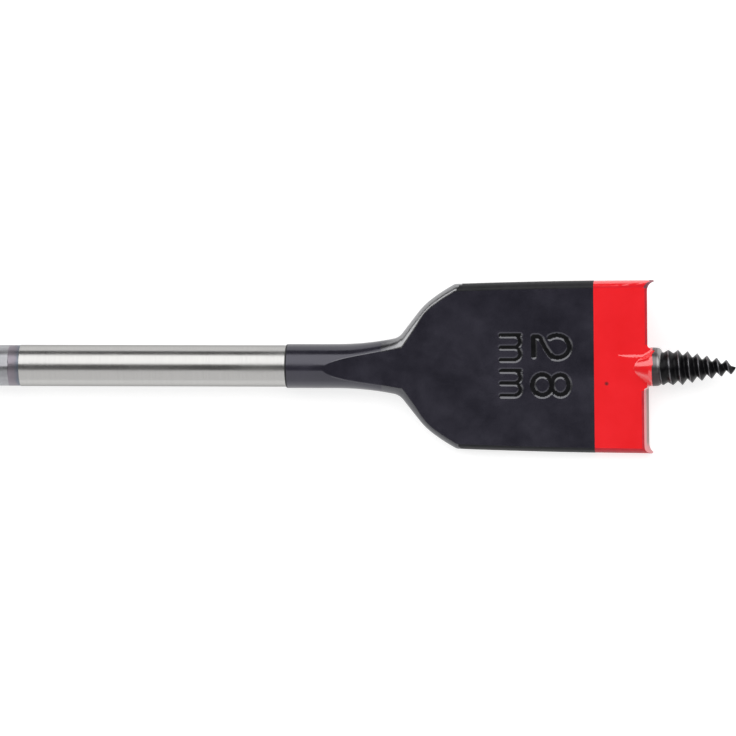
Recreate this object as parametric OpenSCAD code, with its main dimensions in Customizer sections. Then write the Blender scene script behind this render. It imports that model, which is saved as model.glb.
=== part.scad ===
// Spade drill bit: hex shank, round ground shank, flat forged blade and a tapered lead screw, all one piece.
// The axis is X, the origin is the middle of the shank's rear face, and the screw point faces +X.
// The bit is drawn lying down: the full-diameter neck and one edge of the blade touch the ground.

/* [Shank] */
// Size of the hexagon across its flats
hex_af = 6.35; // [6.2:0.05:6.35]
// Length of the hexagon
hex_len = 35.2; // [28:0.1:50]
// Turn of the hexagon against the blade, in degrees
hex_turn = -20.5; // [-30:0.5:30]
// Diameter over the hexagon's rounded corners and over the band behind the ground shank
rear_d = 6.56; // [6.52:0.04:6.6]
// Diameter of the round bar that the bit is forged from, left at the neck
stock_d = 7.1; // [7:0.1:7.6]
// Chamfer at the rear end, measured along the axis
end_chamfer = 0.8; // [0.4:0.1:1.5]
// Distance from the rear face to the middle of the catch groove
groove_x = 9.5; // [8:0.1:12]
// Radius of the catch groove's hollow
groove_r = 2.4; // [1.8:0.1:3]
// Diameter at the bottom of the catch groove
groove_d = 4.8; // [4.2:0.1:5.4]
// Length of the round band behind the ground shank
band_len = 1.75; // [1:0.05:6]
// Diameter of the ground shank
ground_d = 6.66; // [6.64:0.02:6.8]
// Length of the ground shank
ground_len = 42.95; // [25:0.05:80]
// Length of the full-diameter neck in front of the ground shank
neck_len = 6.2; // [3:0.1:12]
// Rounding at the rear shoulder of the neck
neck_round = 0.2; // [0.1:0.02:0.2]

/* [Blade] */
// Diameter of the hole that the bit cuts
cut_d = 28; // [26:0.5:36]
// Thickness of the blade
blade_t = 3; // [2.4:0.1:3.6]
// Length from the start of the neck's ramps to the cutting edges
blade_len = 51.9; // [44:0.1:70]
// Slope of the ramps that thin the neck down to the blade, in degrees
ramp_angle = 7.2; // [6:0.1:10]
// Rounding radius of the blade's long edges
edge_r = 1.9; // [1.85:0.05:2.4]
// Distance from the start of the ramps to the start of the flare
flare_x = 2; // [1.5:0.1:4]
// Radius of the neck's flare
flare_r = 46; // [40:1:56]
// Angle that the flare opens to, in degrees
flare_angle = 11.4; // [9:0.1:13]
// Radius between the flare and the shoulder
root_r = 2.45; // [1.5:0.05:4]
// Angle of the shoulder where it starts, in degrees
shoulder_angle = 52.5; // [48:0.5:56]
// Radius of the shoulder's main bend
bend_r = 12.3; // [8:0.1:14]
// Angle of the shoulder after its main bend, in degrees
bend_angle = 36.8; // [34:0.1:40]
// Radius of the shoulder's outer bow
bow_r = 31; // [20:1:34]
// Angle of the shoulder where it meets the corner, in degrees
bow_angle = 29.4; // [27:0.1:32]
// Radius of the corner between the shoulder and the side
corner_r = 1.4; // [1:0.1:2]
// Angle of the blade's side at its rear corner, in degrees
side_angle = 2.05; // [1:0.05:3]
// Angle of the blade's side at the spurs, in degrees
lip_angle = 0.3; // [0.1:0.05:0.8]
// Length of the painted band behind the cutting edges
paint_len = 8.9; // [6.5:0.1:14]

/* [Cutting edges] */
// Relief angle behind each cutting edge, in degrees
relief_angle = 15.5; // [10:0.5:24]
// Height of the upper half's spur in front of its cutting edge
spur_h = 1.2; // [0.6:0.05:1.6]
// Height of the lower half's spur in front of its cutting edge
low_spur_h = 0.8; // [0.6:0.05:1.6]
// Width of each spur at its foot
spur_w = 1.6; // [1:0.1:2.5]
// Width of each spur at its point
spur_tip = 0.15; // [0.1:0.05:0.4]
// Length of the ground hollow in front of each cutting edge
rake_len = 5.2; // [4:0.1:6]
// Depth of the ground hollow at the cutting edge
rake_depth = 0.45; // [0.2:0.05:0.7]
// Distance from the axis to the side wall of the ground hollow
rake_inset = 2; // [1.7:0.05:2.2]

/* [Lead screw] */
// Radius of the screw's collar
collar_r = 3.16; // [3:0.02:3.3]
// Distance from the cutting edges to the front of the collar
collar_x = 2.25; // [1.9:0.05:3]
// Rounding at the front of the collar
collar_round = 0.8; // [0.6:0.05:1]
// Slope of the boss that rises from the blade to the collar, in degrees
boss_angle = 32; // [28:0.5:36]
// Straight length of the collar behind its rounding
collar_flat = 1.3; // [0.8:0.05:1.5]
// Length of the screw in front of the collar
screw_len = 11.75; // [10:0.05:15]
// Distance between turns of the thread
pitch = 1.55; // [1.2:0.05:2]
// Radius of the blank that the thread is cut into
blank_r = 2.75; // [2.65:0.02:2.85]
// Depth of the thread
thread_depth = 0.75; // [0.4:0.05:0.8]
// Width of the thread's crest as a share of the pitch
crest_share = 0.1; // [0.05:0.01:0.2]
// Radius at the screw's point
tip_r = 0.15; // [0.1:0.01:0.3]
// Direction in which the thread starts, in degrees from the blade's upper half
thread_turn = -27; // [-180:1:180]

/* [Hidden] */
// Fineness of the true circles
$fn = 96;
// Steps along each rounded edge of the blade
edge_steps = 14;
// Steps around the lead screw
turn_steps = 32;
// Small step that keeps one surface clear of another
clear = 0.02;
// Stock that is left in front of the spurs before the front is ground
over = 0.5;

rear_r = rear_d / 2;
stock_r = stock_d / 2;
ground_r = ground_d / 2;
half_t = blade_t / 2;
cut_r = cut_d / 2;

// Stations along the axis
band_x = hex_len;
ground_x = band_x + band_len;
neck_x = ground_x + ground_len;
ramp_x = neck_x + neck_len;
edge_x = ramp_x + blade_len;
front_x = edge_x + max(spur_h, low_spur_h);
paint_x = edge_x - paint_len;
rake_x = edge_x - rake_len;
collar_end = edge_x + collar_x;
tip_x = collar_end + screw_len;

// Bend from point p, headed at angle a, round radius r to the angle b
function bend(p, r, a, b) =
    let (s = sign(b - a))
    [p[0] + s * r * (sin(b) - sin(a)), p[1] + s * r * (cos(a) - cos(b))];

// Points along that bend, each as place along the axis, half width and heading
function bend_run(p, r, a, b, n) =
    [for (i = [1 : n]) let (h = a + (b - a) * i / n, q = bend(p, r, a, h)) [q[0], q[1], h]];

// Half outline of the blade: flare, root, straight shoulder, main bend, bow, corner and side
neck_r = stock_r - clear;
flare_from = [ramp_x + flare_x, neck_r];
root_from = bend(flare_from, flare_r, 0, flare_angle);
straight_from = bend(root_from, root_r, flare_angle, shoulder_angle);
bend_by = bend([0, 0], bend_r, shoulder_angle, bend_angle);
bow_by = bend(bend_by, bow_r, bend_angle, bow_angle);
corner_by = bend(bow_by, corner_r, bow_angle, side_angle);
side_rise = tan((side_angle + lip_angle) / 2);
straight_len =
    (cut_r - side_rise * (front_x - straight_from[0] - corner_by[0]) - straight_from[1] - corner_by[1])
    / (sin(shoulder_angle) - side_rise * cos(shoulder_angle));
bend_from = straight_from + straight_len * [cos(shoulder_angle), sin(shoulder_angle)];
bow_from = bend_from + bend_by;
corner_from = bend_from + bow_by;
side_from = bend_from + corner_by;
side_r = (front_x - side_from[0]) / (sin(side_angle) - sin(lip_angle));

// Station on the blade's side at x
function side_at(x) =
    let (h = asin(sin(side_angle) - (x - side_from[0]) / side_r))
    [x, side_from[1] + side_r * (cos(h) - cos(side_angle)), h];

// Half thickness at x: the ramps thin the neck down to the blade
function thick_at(x) = max(half_t, min(0.997 * neck_r, stock_r - tan(ramp_angle) * (x - ramp_x)));

// Edge rounding radius where the half thickness is t
function edge_at(t) =
    let (u = min(1, 1.25 * (t - half_t) / (neck_r - half_t)))
    edge_r + (neck_r - edge_r) * (3 * u * u - 2 * u * u * u);

// Cross-section at a station: two flats and two rounded edges
function section(s) =
    let (t = thick_at(s[0]), r = edge_at(t), a = asin(t / r), k = 1 / cos(s[2]))
    [for (side = [1, -1], j = [0 : edge_steps])
        let (b = side * a * (1 - 2 * j / edge_steps))
        [s[0], side * (s[1] - k * r * (1 - cos(b))), r * sin(b)]];

ramp_run = [for (i = [0 : 5]) [ramp_x + flare_x * pow(i / 5, 2), neck_r, 0]];
straight_run = [for (i = [1 : 3]) let (p = straight_from + (bend_from - straight_from) * i / 3)
    [p[0], p[1], shoulder_angle]];
black_run = concat(
    [[ramp_x - neck_len / 4, neck_r, 0]],
    ramp_run,
    bend_run(flare_from, flare_r, 0, flare_angle, 8),
    bend_run(root_from, root_r, flare_angle, shoulder_angle, 6),
    straight_run,
    bend_run(bend_from, bend_r, shoulder_angle, bend_angle, 5),
    bend_run(bow_from, bow_r, bend_angle, bow_angle, 4),
    bend_run(corner_from, corner_r, bow_angle, side_angle, 4),
    [for (i = [1 : 4]) side_at(side_from[0] + (paint_x - side_from[0]) * i / 4)]);
red_run = [for (i = [0 : 3]) side_at(paint_x + (front_x + over - paint_x) * i / 3)];

// Roll at which the bit lies on its neck and on the lower edge of the blade
foot = section(side_at(rake_x))[0];
roll = asin(stock_r / norm([foot[1], foot[2]])) - atan2(foot[2], foot[1]);

// Solid through a run of cross-sections
module loft(run) {
    n = 2 * (edge_steps + 1);
    m = len(run);
    points = [for (s = run) each section(s)];
    skin = [for (i = [0 : m - 2], j = [0 : n - 1])
        let (a = i * n + j, b = i * n + (j + 1) % n)
        each [[a, b, b + n], [a, b + n, a + n]]];
    rear = [for (j = [0 : n - 1]) n - 1 - j];
    front = [for (j = [0 : n - 1]) (m - 1) * n + j];
    polyhedron(points, concat(skin, [rear, front]));
}

// Upright prism whose lower and upper outlines are lists of points with the same count
module prism(low, high) {
    n = len(low);
    sides = [for (j = [0 : n - 1]) let (k = (j + 1) % n) each [[j, j + n, k + n], [j, k + n, k]]];
    floor_face = [for (j = [0 : n - 1]) j];
    roof_face = [for (j = [0 : n - 1]) 2 * n - 1 - j];
    polyhedron(concat(low, high), concat(sides, [floor_face, roof_face]));
}

// What is ground away in front of one half's cutting edge, leaving a spur of height h
module front_cut(h) {
    span = half_t + 1;
    lip_z = half_t - rake_depth;
    foot_y = cut_r - spur_w;
    tip_y = cut_r - spur_tip;
    curve = [for (i = [0 : 6]) let (a = 90 - 15 * i)
        [h * (1 - cos(a)), foot_y + (tip_y - foot_y) * sin(a)]];
    outline = concat(
        [[0, collar_r / 3], [h + 2, collar_r / 3]],
        [[h + 2, cut_r + 1], [h, cut_r + 1]],
        curve);
    lean = tan(relief_angle);
    low = [for (p = outline) [edge_x + p[0] - lean * (lip_z + span), p[1], -span]];
    high = [for (p = outline) [edge_x + p[0] - lean * (lip_z - span), p[1], span]];
    prism(low, high);
}

// Hollow ground into the leading face of the upper half, running out over the boss
module rake_cut() {
    slope = rake_depth / rake_len;
    out_x = collar_end - collar_round;
    outline = [
        [rake_x, rake_inset],
        [edge_x - collar_flat / 2, rake_inset],
        [out_x, collar_r + 0.1],
        [out_x, cut_r + 1],
        [rake_x, cut_r + 1]];
    low = [for (p = outline) [p[0], p[1], half_t - slope * (p[0] - rake_x)]];
    high = [for (p = outline) [p[0], p[1], collar_r + 1]];
    prism(low, high);
}

// The lower half's feature, half a turn about the axis from the upper half's
module half_turn() {
    rotate([180, 0, 0]) children();
}

// Solid of revolution about the bit's axis from points of place and radius
module turned(outline) {
    rotate([0, 90, 0])
        rotate([0, 0, 90])
            rotate_extrude()
                polygon([for (p = outline) [p[1], p[0]]]);
}

// Hexagon with its catch groove, rear band, ground shank and neck
module shank() {
    chamfer_r = rear_r - 1.2 * end_chamfer;
    difference() {
        turned(concat(
            [[0, 0], [0, chamfer_r], [end_chamfer, rear_r]],
            [[ground_x, rear_r], [ground_x, ground_r], [neck_x, ground_r]],
            [for (i = [0 : 4]) let (a = 22.5 * i)
                [neck_x + neck_round * (1 - cos(a)), stock_r - neck_round * (1 - sin(a))]],
            [[ramp_x, stock_r], [ramp_x, 0]]));
        for (i = [0 : 5])
            rotate([hex_turn + 60 * i, 0, 0])
                translate([-1, -stock_d, hex_af / 2])
                    cube([hex_len + 1, 2 * stock_d, stock_d]);
        translate([groove_x, 0, 0])
            rotate([0, 90, 0])
                rotate_extrude()
                    translate([groove_d / 2 + groove_r, 0])
                        circle(groove_r);
    }
}

// Boss that rises out of the blade and carries the screw's collar
module boss() {
    flat_from = collar_end - collar_round - collar_flat;
    cone_r = half_t / 2;
    turned(concat(
        [[flat_from - (collar_r - cone_r) / tan(boss_angle), 0]],
        [[flat_from - (collar_r - cone_r) / tan(boss_angle), cone_r]],
        [[flat_from, collar_r]],
        [for (i = [0 : 4]) let (a = 22.5 * i)
            [collar_end - collar_round * (1 - sin(a)), collar_r - collar_round * (1 - cos(a))]],
        [[collar_end, 0]]));
}

// Radius at the bottom of the thread: a cone from the blank to the point, cut straight beside the collar
function root_at(x) = min(0.93 * blank_r, tip_r + (blank_r - clear - tip_r) * (tip_x - x) / screw_len);

// Tapered single-start right-hand thread as one closed skin
module screw() {
    first_x = collar_end + 0.1;
    steps = floor(turn_steps * ((tip_x - 0.05 - first_x) / pitch - 1));
    heights = [0, 1, 1];
    shares = [0, 0.5 - crest_share / 2, 0.5 + crest_share / 2];
    m = len(heights);
    base_x = collar_end - collar_round - 0.2;

    function around(x, r, i) =
        let (a = thread_turn + 360 * i / turn_steps)
        [x, r * cos(a), r * sin(a)];
    function ridge(i, share, height) =
        let (
            x = first_x + pitch * (i / turn_steps + share),
            r = root_at(x),
            depth = min(thread_depth, blank_r + 0.1 - r))
        around(x, r + height * depth, i);

    // Points of the ribbon, then of its last open edge, then of the two end rings
    ribbon = [for (i = [0 : steps], q = [0 : m - 1]) ridge(i, shares[q], heights[q])];
    last_edge = [for (i = [steps - turn_steps + 1 : steps]) ridge(i, 1, 0)];
    base_ring = [for (i = [0 : turn_steps - 1]) around(base_x, root_at(base_x), i)];
    tip_ring = [for (i = [0 : turn_steps - 1]) around(tip_x, tip_r, i)];
    edge_at = len(ribbon);
    base_at = edge_at + turn_steps;
    tip_at = base_at + turn_steps;

    function v(i, q) =
        q < m ? i * m + q
        : i + turn_steps <= steps ? (i + turn_steps) * m
        : edge_at + i - (steps - turn_steps + 1);
    function base(i) = base_at + i % turn_steps;
    function tip(i) = tip_at + i % turn_steps;

    skin = [for (i = [0 : steps - 1], q = [0 : m - 1])
        each [[v(i, q), v(i + 1, q + 1), v(i + 1, q)], [v(i, q), v(i, q + 1), v(i + 1, q + 1)]]];
    base_skin = [for (i = [0 : turn_steps - 2])
        each [[base(i), v(i + 1, 0), base(i + 1)], [base(i), v(i, 0), v(i + 1, 0)]]];
    k = turn_steps - 1;
    base_close = [
        [base(k), v(k, 0), base(0)],
        [base(0), v(k, 0), v(0, 0)],
        [v(0, 0), v(k, 0), v(0, m)]];
    start_wall = [[v(0, 0), v(0, m), v(0, 2), v(0, 1)]];
    e = steps - turn_steps;
    tip_skin = [for (i = [e + 1 : steps - 1])
        each [[v(i, m), tip(i + 1), v(i + 1, m)], [v(i, m), tip(i), tip(i + 1)]]];
    tip_close = [
        [v(e + 1, m), tip(steps), tip(e + 1)],
        [v(e + 1, m), v(steps, m), tip(steps)],
        [v(e + 1, m), v(steps, 0), v(steps, m)]];
    end_wall = [[v(steps, 0), v(steps, 1), v(steps, 2), v(steps, m)]];
    base_face = [[for (i = [0 : turn_steps - 1]) base(i)]];
    tip_face = [[for (i = [0 : turn_steps - 1]) tip(turn_steps - 1 - i)]];

    polyhedron(
        concat(ribbon, last_edge, base_ring, tip_ring),
        concat(skin, base_skin, base_close, start_wall, tip_skin, tip_close, end_wall, base_face, tip_face));
}

// Painted cutting head: blade front with spurs, ground hollows and boss
module head() {
    difference() {
        union() {
            difference() {
                loft(red_run);
                front_cut(spur_h);
                half_turn() front_cut(low_spur_h);
            }
            boss();
        }
        rake_cut();
        half_turn() rake_cut();
    }
}

module spade_bit() {
    rotate([roll, 0, 0]) {
        color("silver") shank();
        color([0.17, 0.17, 0.19]) loft(black_run);
        color([0.9, 0.1, 0.13]) head();
        color([0.1, 0.1, 0.1]) screw();
    }
}

spade_bit();
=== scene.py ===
import math

import bpy
import numpy as np
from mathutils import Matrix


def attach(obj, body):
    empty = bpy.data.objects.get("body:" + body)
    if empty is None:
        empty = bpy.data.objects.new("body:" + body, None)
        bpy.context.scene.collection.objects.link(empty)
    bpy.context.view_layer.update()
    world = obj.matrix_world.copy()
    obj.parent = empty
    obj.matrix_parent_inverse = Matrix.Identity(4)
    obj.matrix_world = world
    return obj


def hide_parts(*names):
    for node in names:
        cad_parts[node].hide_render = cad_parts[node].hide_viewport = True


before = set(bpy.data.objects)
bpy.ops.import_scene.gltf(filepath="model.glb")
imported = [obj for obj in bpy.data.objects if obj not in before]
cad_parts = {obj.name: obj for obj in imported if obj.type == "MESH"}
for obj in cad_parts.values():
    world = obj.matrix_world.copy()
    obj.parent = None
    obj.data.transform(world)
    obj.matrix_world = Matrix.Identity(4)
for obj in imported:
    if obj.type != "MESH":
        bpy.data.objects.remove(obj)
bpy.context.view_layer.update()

# Sizes in millimetres, along the drill axis X from the shank's rear face
MM = 0.001
HEX_FLATS = 6.35
HEX_LEN = 35.2
HEX_TURN = math.radians(-20.5)
REAR_R = 3.28
STOCK_R = 3.55
END_CHAMFER = 0.8
CHAMFER_SLOPE = 1.2
END_SOFT = 0.05
GROOVE_X = 9.5
GROOVE_R = 2.4
GROOVE_FLOOR_R = 2.4
BAND_LEN = 1.75
BAND_EASE = 0.04
BAND_RIM = 0.05
GROUND_R = 3.33
GROUND_LEN = 42.95
NECK_LEN = 6.2
NECK_ROUND = 0.3

CUT_R = 14.0
HALF_T = 1.5
BLADE_LEN = 51.9
RAMP_SLOPE = math.tan(math.radians(7.2))
RAMP_ROUND = 0.12
EDGE_R = 1.9
EDGE_FADE = 1.25
CREASE_ROUND = 0.12
FLARE_X = 2.0
FLARE_R = 46
FLARE_ANGLE = 11.4
ROOT_R = 2.45
SHOULDER_ANGLE = 52.5
BEND_R = 12.3
BEND_ANGLE = 36.8
BOW_R = 31
BOW_ANGLE = 29.4
CORNER_R = 1.4
SIDE_ANGLE = 2.05
LIP_ANGLE = 0.3
SIDE_END_ANGLE = -0.2
PAINT_LEN = 8.54

RELIEF_LEAN = math.tan(math.radians(13))
SPUR_H = 1.2
LOW_SPUR_H = 0.8
SPUR_W = 1.6
SPUR_TIP = 0.15
RAKE_LEN = 5.2
RAKE_DEPTH = 0.45
RAKE_FOOT = 2.3
RAKE_TURN = 0.75
RAKE_RUN_OUT = 0.6
WHEEL_R = 0.75
WHEEL_SIDE = 3.5
FILLET_R = 0.5

COLLAR_R = 3.16
COLLAR_X = 2.25
COLLAR_ROUND = 0.8
COLLAR_FLAT = 1.0
BOSS_SLOPE = math.tan(math.radians(32))
BOSS_ROUND = 0.12
BOSS_PAINT = 0.38
SCREW_INSET = 0.02
SCREW_LEN = 11.75
PITCH = 1.55
BLANK_R = 2.76
THREAD_DEPTH = 0.78
TIP_R = 0.13
THREAD_TURN = math.radians(-27)
THREAD_SHIFT = -0.1

# Stations along the axis
GROUND_X = HEX_LEN + BAND_LEN
NECK_X = GROUND_X + GROUND_LEN
RAMP_X = NECK_X + NECK_LEN
EDGE_X = RAMP_X + BLADE_LEN
FRONT_X = EDGE_X + SPUR_H
PAINT_X = EDGE_X - PAINT_LEN
RAKE_X = EDGE_X - RAKE_LEN
RAKE_TURN_X = EDGE_X - RAKE_TURN
COLLAR_END = EDGE_X + COLLAR_X
BOSS_TOP_X = COLLAR_END - COLLAR_ROUND - COLLAR_FLAT
TIP_X = COLLAR_END + SCREW_LEN
RAKE_OUT_X = COLLAR_END - COLLAR_ROUND

# Places of the finishes: shoulder wear with a painted highlight towards +Y, straight sides, size mark and
# a chip in the paint
SHOULDER_X = 95.5
WEAR_AND_HIGHLIGHT_LEN = 3.0
SIDE_X = 108.0
MARK_X = 113.4
MARK_END = 127.2
MARK_REACH = 7.0
CHIP = (131.45, -2.5, HALF_T)
CHIP_CORE = 0.12
CHIP_RIM = 0.42


# Half outline of the blade as a chain of bends

def bend(start, radius, a, b, steps=40):
    """Points and headings of an arc from a start point that turns from heading a to b, in degrees."""
    turn = 1 if b > a else -1
    h = np.radians(np.linspace(a, b, steps + 1))
    x = start[0] + turn * radius * (np.sin(h) - np.sin(h[0]))
    y = start[1] + turn * radius * (np.cos(h[0]) - np.cos(h))
    return np.column_stack([x, y, h])


def blade_outline():
    """Rows of place along the axis, half width and heading."""
    flare = bend((RAMP_X + FLARE_X, STOCK_R), FLARE_R, 0, FLARE_ANGLE)
    root = bend(flare[-1], ROOT_R, FLARE_ANGLE, SHOULDER_ANGLE)
    shoulder = bend((0, 0), BEND_R, SHOULDER_ANGLE, BEND_ANGLE)
    bow = bend(shoulder[-1], BOW_R, BEND_ANGLE, BOW_ANGLE)
    corner = bend(bow[-1], CORNER_R, BOW_ANGLE, SIDE_ANGLE)
    rise = math.tan(math.radians((SIDE_ANGLE + LIP_ANGLE) / 2))
    start, h = root[-1], math.radians(SHOULDER_ANGLE)
    reach = CUT_R - rise * (FRONT_X - start[0] - corner[-1, 0]) - start[1] - corner[-1, 1]
    straight = reach / (math.sin(h) - rise * math.cos(h))
    lift = np.array([start[0] + straight * math.cos(h), start[1] + straight * math.sin(h), 0])
    bends = [run + lift for run in (shoulder, bow, corner)]
    side_start = bends[-1][-1]
    a, b = math.radians(SIDE_ANGLE), math.radians(LIP_ANGLE)
    side_r = (FRONT_X - side_start[0]) / (math.sin(a) - math.sin(b))
    side = bend(side_start, side_r, SIDE_ANGLE, SIDE_END_ANGLE)
    neck = np.array([[0, STOCK_R, 0]])
    return np.vstack([neck, flare, root] + bends + [side])


OUTLINE = blade_outline()


def half_width(x):
    return np.interp(x, OUTLINE[:, 0], OUTLINE[:, 1])


def heading(x):
    return np.interp(x, OUTLINE[:, 0], OUTLINE[:, 2])


def smooth_max(a, b, k):
    h = np.clip(0.5 + 0.5 * (a - b) / k, 0, 1)
    return b + (a - b) * h + k * h * (1 - h)


def smooth_step(lo, hi, v):
    t = np.clip((v - lo) / (hi - lo), 0, 1)
    return t * t * (3 - 2 * t)


def half_thickness(x):
    ramp = STOCK_R - RAMP_SLOPE * (x - RAMP_X)
    return smooth_max(ramp, HALF_T, RAMP_ROUND)


def edge_radius(t):
    u = np.clip(EDGE_FADE * (t - HALF_T) / (STOCK_R - HALF_T), 0, 1)
    return EDGE_R + (STOCK_R - EDGE_R) * (3 * u * u - 2 * u ** 3)


def edge_foot():
    """Where the blade's lower edge touches the ground: its crease at the start of the rake."""
    drop = EDGE_R - math.sqrt(EDGE_R ** 2 - HALF_T ** 2)
    return float(half_width(RAKE_X)) - drop, HALF_T


FOOT_Y, FOOT_Z = edge_foot()
ROLL = math.asin(STOCK_R / math.hypot(FOOT_Y, FOOT_Z)) - math.atan2(FOOT_Z, FOOT_Y)


# Mesh helpers

def lay_down(points):
    """From the bit's own axes in millimetres to the frame, in metres, rolled as the bit lies."""
    p = np.asarray(points, float)
    c, s = math.cos(ROLL), math.sin(ROLL)
    y = p[:, 1] * c - p[:, 2] * s
    z = p[:, 1] * s + p[:, 2] * c
    return np.column_stack([p[:, 0], y, z]) * MM


def grid_faces(rows, cols, start=0):
    """Quads between rings of points, with their columns joined round."""
    faces = []
    for i in range(rows - 1):
        a = start + i * cols
        for j in range(cols):
            k = (j + 1) % cols
            faces.append((a + j, a + k, a + cols + k, a + cols + j))
    return faces


def make_piece(name, points, faces, materials, slots, sharp):
    """Smooth-shaded piece of the bit, with a material for each face and a crease angle in degrees."""
    mesh = bpy.data.meshes.new(name)
    mesh.from_pydata(lay_down(points).tolist(), [], faces)
    for m in materials:
        mesh.materials.append(m)
    mesh.polygons.foreach_set("material_index", np.asarray(slots, dtype=np.int32))
    mesh.polygons.foreach_set("use_smooth", np.ones(len(mesh.polygons), dtype=bool))
    mesh.validate()
    mesh.update()
    mesh.set_sharp_from_angle(angle=math.radians(sharp))
    piece = bpy.data.objects.new(name, mesh)
    bpy.context.collection.objects.link(piece)
    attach(piece, "root")
    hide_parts("spade_bit")
    return piece


# Materials

def new_material(name):
    mat = bpy.data.materials.new(name)
    mat.use_nodes = True
    tree = mat.node_tree
    return mat, tree, tree.nodes["Principled BSDF"]


def node(tree, kind, **values):
    n = tree.nodes.new(kind)
    for key, value in values.items():
        setattr(n, key, value)
    return n


def noise(tree, scale, stretch=(1, 1, 1), detail=4.0, rough=0.55):
    """Noise in object space, in features per metre, stretched along the axes."""
    coord = node(tree, "ShaderNodeTexCoord")
    place = node(tree, "ShaderNodeMapping")
    place.inputs["Scale"].default_value = [scale * s for s in stretch]
    tex = node(tree, "ShaderNodeTexNoise")
    tex.inputs["Scale"].default_value = 1.0
    tex.inputs["Detail"].default_value = detail
    tex.inputs["Roughness"].default_value = rough
    tree.links.new(coord.outputs["Object"], place.inputs["Vector"])
    tree.links.new(place.outputs["Vector"], tex.inputs["Vector"])
    return tex.outputs["Fac"]


def ramp(tree, value, stops):
    """Colour ramp with stops of place and colour."""
    n = node(tree, "ShaderNodeValToRGB")
    while len(n.color_ramp.elements) < len(stops):
        n.color_ramp.elements.new(0.5)
    for e, (place, colour) in zip(n.color_ramp.elements, stops):
        e.position = place
        e.color = (*colour, 1.0)
    tree.links.new(value, n.inputs["Fac"])
    return n.outputs["Color"]


def map_range(tree, value, lo, hi, out_lo, out_hi):
    n = node(tree, "ShaderNodeMapRange")
    for key, v in (("From Min", lo), ("From Max", hi), ("To Min", out_lo), ("To Max", out_hi)):
        n.inputs[key].default_value = v
    tree.links.new(value, n.inputs["Value"])
    return n.outputs["Result"]


def bump(tree, heights, shader):
    """Chain of bumps, each as height output, strength and distance in metres."""
    normal = None
    for height, strength, distance in heights:
        n = node(tree, "ShaderNodeBump")
        n.inputs["Strength"].default_value = strength
        n.inputs["Distance"].default_value = distance
        tree.links.new(height, n.inputs["Height"])
        if normal is not None:
            tree.links.new(normal, n.inputs["Normal"])
        normal = n.outputs["Normal"]
    tree.links.new(normal, shader.inputs["Normal"])


def around_axis(tree, shader):
    """Grain runs around the drill axis, so gloss is drawn out along it."""
    tangent = node(tree, "ShaderNodeTangent", direction_type="RADIAL", axis="X")
    tree.links.new(tangent.outputs["Tangent"], shader.inputs["Tangent"])


def bit_axes(tree):
    """Place in the bit's own axes, before it was rolled to lie down, in metres."""
    coord = node(tree, "ShaderNodeTexCoord")
    place = node(tree, "ShaderNodeMapping")
    place.inputs["Rotation"].default_value = (-ROLL, 0, 0)
    parts = node(tree, "ShaderNodeSeparateXYZ")
    tree.links.new(coord.outputs["Object"], place.inputs["Vector"])
    tree.links.new(place.outputs["Vector"], parts.inputs["Vector"])
    return parts.outputs["X"], parts.outputs["Y"], parts.outputs["Z"]


def math_node(tree, kind, a, b=None):
    n = node(tree, "ShaderNodeMath", operation=kind)
    tree.links.new(a, n.inputs[0])
    if b is not None:
        tree.links.new(b, n.inputs[1])
    return n.outputs[0]


def ground_steel():
    mat, tree, s = new_material("ground_steel")
    lines = noise(tree, 1000, (9.0, 0.02, 0.02), detail=6)
    patches = noise(tree, 220, (0.5, 1, 1), detail=3)
    colour = ramp(tree, lines, [(0.3, (0.42, 0.415, 0.405)), (0.7, (0.50, 0.495, 0.485))])
    tree.links.new(colour, s.inputs["Base Color"])
    tree.links.new(map_range(tree, patches, 0.3, 0.7, 0.16, 0.24), s.inputs["Roughness"])
    s.inputs["Metallic"].default_value = 1.0
    s.inputs["Specular Tint"].default_value = (0.55, 0.55, 0.55, 1)
    s.inputs["Anisotropic"].default_value = 0.6
    around_axis(tree, s)
    bump(tree, [(lines, 0.12, 0.00002)], s)
    return mat


def stock_steel():
    mat, tree, s = new_material("stock_steel")
    patches = noise(tree, 500, detail=5)
    lines = noise(tree, 1000, (3.0, 0.05, 0.05), detail=4)
    colour = ramp(tree, patches, [(0.3, (0.27, 0.27, 0.285)), (0.7, (0.39, 0.39, 0.41))])
    tree.links.new(colour, s.inputs["Base Color"])
    tree.links.new(map_range(tree, patches, 0.3, 0.7, 0.32, 0.42), s.inputs["Roughness"])
    s.inputs["Metallic"].default_value = 1.0
    bump(tree, [(lines, 0.1, 0.00003), (patches, 0.08, 0.00004)], s)
    return mat


def black_coating():
    mat, tree, s = new_material("black_coating")
    cloud = noise(tree, 160, detail=6, rough=0.65)
    fine = noise(tree, 2600, detail=3)
    colour = ramp(tree, cloud, [(0.3, (0.0085, 0.0078, 0.0135)), (0.7, (0.018, 0.0163, 0.0265))])
    tree.links.new(colour, s.inputs["Base Color"])
    tree.links.new(map_range(tree, cloud, 0.35, 0.65, 0.15, 0.26), s.inputs["Roughness"])
    s.inputs["Specular IOR Level"].default_value = 0.84
    s.inputs["Specular Tint"].default_value = (0.9, 0.89, 1.0, 1)
    bump(tree, [(cloud, 0.05, 0.0002), (fine, 0.05, 0.00004)], s)
    return mat


def dull_black(name, dark, light, shine):
    mat, tree, s = new_material(name)
    cloud = noise(tree, 700, detail=5)
    colour = ramp(tree, cloud, [(0.3, (dark, dark, 1.2 * dark)), (0.7, (light, light, 1.2 * light))])
    tree.links.new(colour, s.inputs["Base Color"])
    tree.links.new(map_range(tree, cloud, 0.3, 0.7, 0.42, 0.55), s.inputs["Roughness"])
    s.inputs["Specular IOR Level"].default_value = shine
    bump(tree, [(cloud, 0.06, 0.00004)], s)
    return mat


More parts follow.
